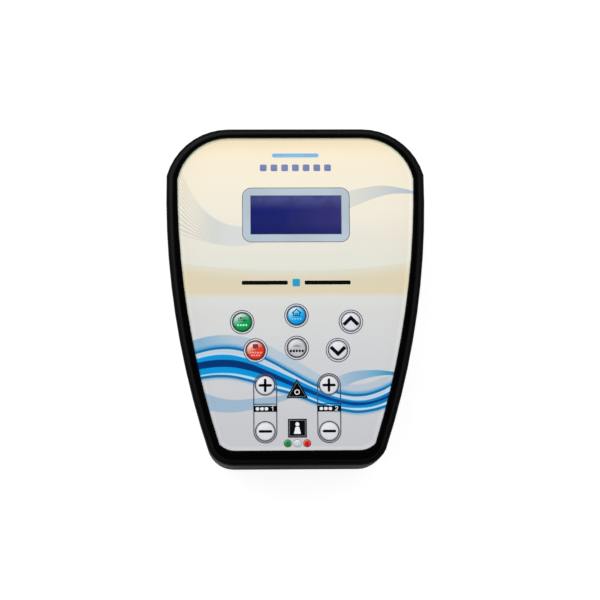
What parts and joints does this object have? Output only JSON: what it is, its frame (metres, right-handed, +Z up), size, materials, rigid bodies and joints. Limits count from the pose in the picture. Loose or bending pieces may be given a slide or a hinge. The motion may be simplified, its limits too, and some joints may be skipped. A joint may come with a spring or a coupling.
{
  "type": "tens unit",
  "caption": "Two-channel TENS unit: shield-shaped black case with a recessed printed face, display, round keys, lamps and a recessed rear connector panel.",
  "frame": {"origin": "on the table under the middle of the case", "axes": "+X to the right seen from the face, +Y towards the display end, +Z up out of the face"},
  "size_m": [0.1108, 0.1448, 0.036],
  "materials": {
    "case_gloss_black": "glossy moulded",
    "case_satin_black": "fine satin texture",
    "screw_steel": "zinc plated",
    "foot_rubber": "soft matt",
    "printed_overlay": "satin printed sheet",
    "window_clear": "clear hard coat",
    "bezel_black_metal": "satin",
    "display_glass": "dark blue",
    "backlight_white": "diffuser",
    "circuit_board": "solder mask",
    "cable_grey": "flat cable",
    "switch_black": "satin",
    "chip_black": "moulded",
    "nylon_white": "natural nylon",
    "transformer_core": "laminated core",
    "capacitor_sleeve": "shrink sleeve",
    "cell_sleeve": "printed sleeve on a steel can",
    "contact_nickel": "nickel plated",
    "connector_black": "glass-filled nylon",
    "rocker_black": "gloss",
    "plunger_grey": "satin",
    "key_green": "glossy lacquer",
    "key_blue": "glossy lacquer",
    "key_red": "glossy lacquer",
    "key_silver": "glossy silver lacquer",
    "key_white": "glossy lacquer",
    "lens_green": "tinted epoxy",
    "lens_clear": "diffused epoxy",
    "lens_red": "tinted epoxy"
  },
  "bodies": {
    "case": {"top_case": "case_gloss_black", "bottom_case": "case_satin_black", "case_screws": "screw_steel", "rubber_feet": "foot_rubber", "face_overlay": "printed_overlay", "display_window": "window_clear", "display_bezel": "bezel_black_metal", "display_glass": "display_glass", "display_backlight": "backlight_white", "display_board": "circuit_board", "display_screws": "screw_steel", "display_cable": "cable_grey", "main_board": "circuit_board", "main_board_screws": "screw_steel", "tact_switches": "switch_black", "controller_chip": "chip_black", "lamp_spacers": "nylon_white", "power_board": "circuit_board", "power_board_screws": "screw_steel", "output_transformers": "transformer_core", "inductor": "transformer_core", "capacitors": "capacitor_sleeve", "buzzer": "switch_black", "board_headers": "nylon_white", "board_cable": "cable_grey", "battery_cells": "cell_sleeve", "battery_springs": "contact_nickel", "battery_plates": "contact_nickel", "output_socket_1": "connector_black", "output_socket_2": "connector_black", "socket_nuts": "contact_nickel", "charger_socket": "connector_black", "charger_pin": "contact_nickel", "charger_nut": "contact_nickel", "power_switch": "connector_black", "lamp_green": "lens_green", "lamp_clear": "lens_clear", "lamp_red": "lens_red"},
    "power_rocker": {"power_rocker": "rocker_black"},
    "battery_door": {"battery_door": "case_satin_black"},
    "menu_key": {"key_menu": "key_green", "plunger_menu": "plunger_grey"},
    "home_key": {"key_home": "key_blue", "plunger_home": "plunger_grey"},
    "up_key": {"key_up": "key_white", "plunger_up": "plunger_grey"},
    "stop_key": {"key_stop": "key_red", "plunger_stop": "plunger_grey"},
    "clear_key": {"key_clear": "key_silver", "plunger_clear": "plunger_grey"},
    "down_key": {"key_down": "key_white", "plunger_down": "plunger_grey"},
    "out1_plus_key": {"key_out1_plus": "key_white", "plunger_out1_plus": "plunger_grey"},
    "out1_minus_key": {"key_out1_minus": "key_white", "plunger_out1_minus": "plunger_grey"},
    "out2_plus_key": {"key_out2_plus": "key_white", "plunger_out2_plus": "plunger_grey"},
    "out2_minus_key": {"key_out2_minus": "key_white", "plunger_out2_minus": "plunger_grey"}
  },
  "joints": [
    {"name": "menu_press", "type": "slide", "parent": "case", "child": "menu_key", "axis": [0, 0, -1], "range_m": [0, 0.0004], "stiffness_N_per_m": 2000, "springref_m": -0.0001},
    {"name": "home_press", "type": "slide", "parent": "case", "child": "home_key", "axis": [0, 0, -1], "range_m": [0, 0.0004], "stiffness_N_per_m": 2000, "springref_m": -0.0001},
    {"name": "up_press", "type": "slide", "parent": "case", "child": "up_key", "axis": [0, 0, -1], "range_m": [0, 0.0004], "stiffness_N_per_m": 2000, "springref_m": -0.0001},
    {"name": "stop_press", "type": "slide", "parent": "case", "child": "stop_key", "axis": [0, 0, -1], "range_m": [0, 0.0004], "stiffness_N_per_m": 2000, "springref_m": -0.0001},
    {"name": "clear_press", "type": "slide", "parent": "case", "child": "clear_key", "axis": [0, 0, -1], "range_m": [0, 0.0004], "stiffness_N_per_m": 2000, "springref_m": -0.0001},
    {"name": "down_press", "type": "slide", "parent": "case", "child": "down_key", "axis": [0, 0, -1], "range_m": [0, 0.0004], "stiffness_N_per_m": 2000, "springref_m": -0.0001},
    {"name": "out1_plus_press", "type": "slide", "parent": "case", "child": "out1_plus_key", "axis": [0, 0, -1], "range_m": [0, 0.0004], "stiffness_N_per_m": 2000, "springref_m": -0.0001},
    {"name": "out1_minus_press", "type": "slide", "parent": "case", "child": "out1_minus_key", "axis": [0, 0, -1], "range_m": [0, 0.0004], "stiffness_N_per_m": 2000, "springref_m": -0.0001},
    {"name": "out2_plus_press", "type": "slide", "parent": "case", "child": "out2_plus_key", "axis": [0, 0, -1], "range_m": [0, 0.0004], "stiffness_N_per_m": 2000, "springref_m": -0.0001},
    {"name": "out2_minus_press", "type": "slide", "parent": "case", "child": "out2_minus_key", "axis": [0, 0, -1], "range_m": [0, 0.0004], "stiffness_N_per_m": 2000, "springref_m": -0.0001},
    {"name": "rocker_tilt", "type": "hinge", "parent": "case", "child": "power_rocker", "pos_m": [0.02, 0.06595, 0.0218], "axis": [1, 0, 0], "range_deg": [0, 18]},
    {"name": "battery_door_swing", "type": "hinge", "parent": "case", "child": "battery_door", "pos_m": [0, -0.0463, 0.003], "axis": [-1, 0, 0], "range_deg": [0, 80]}
  ]
}
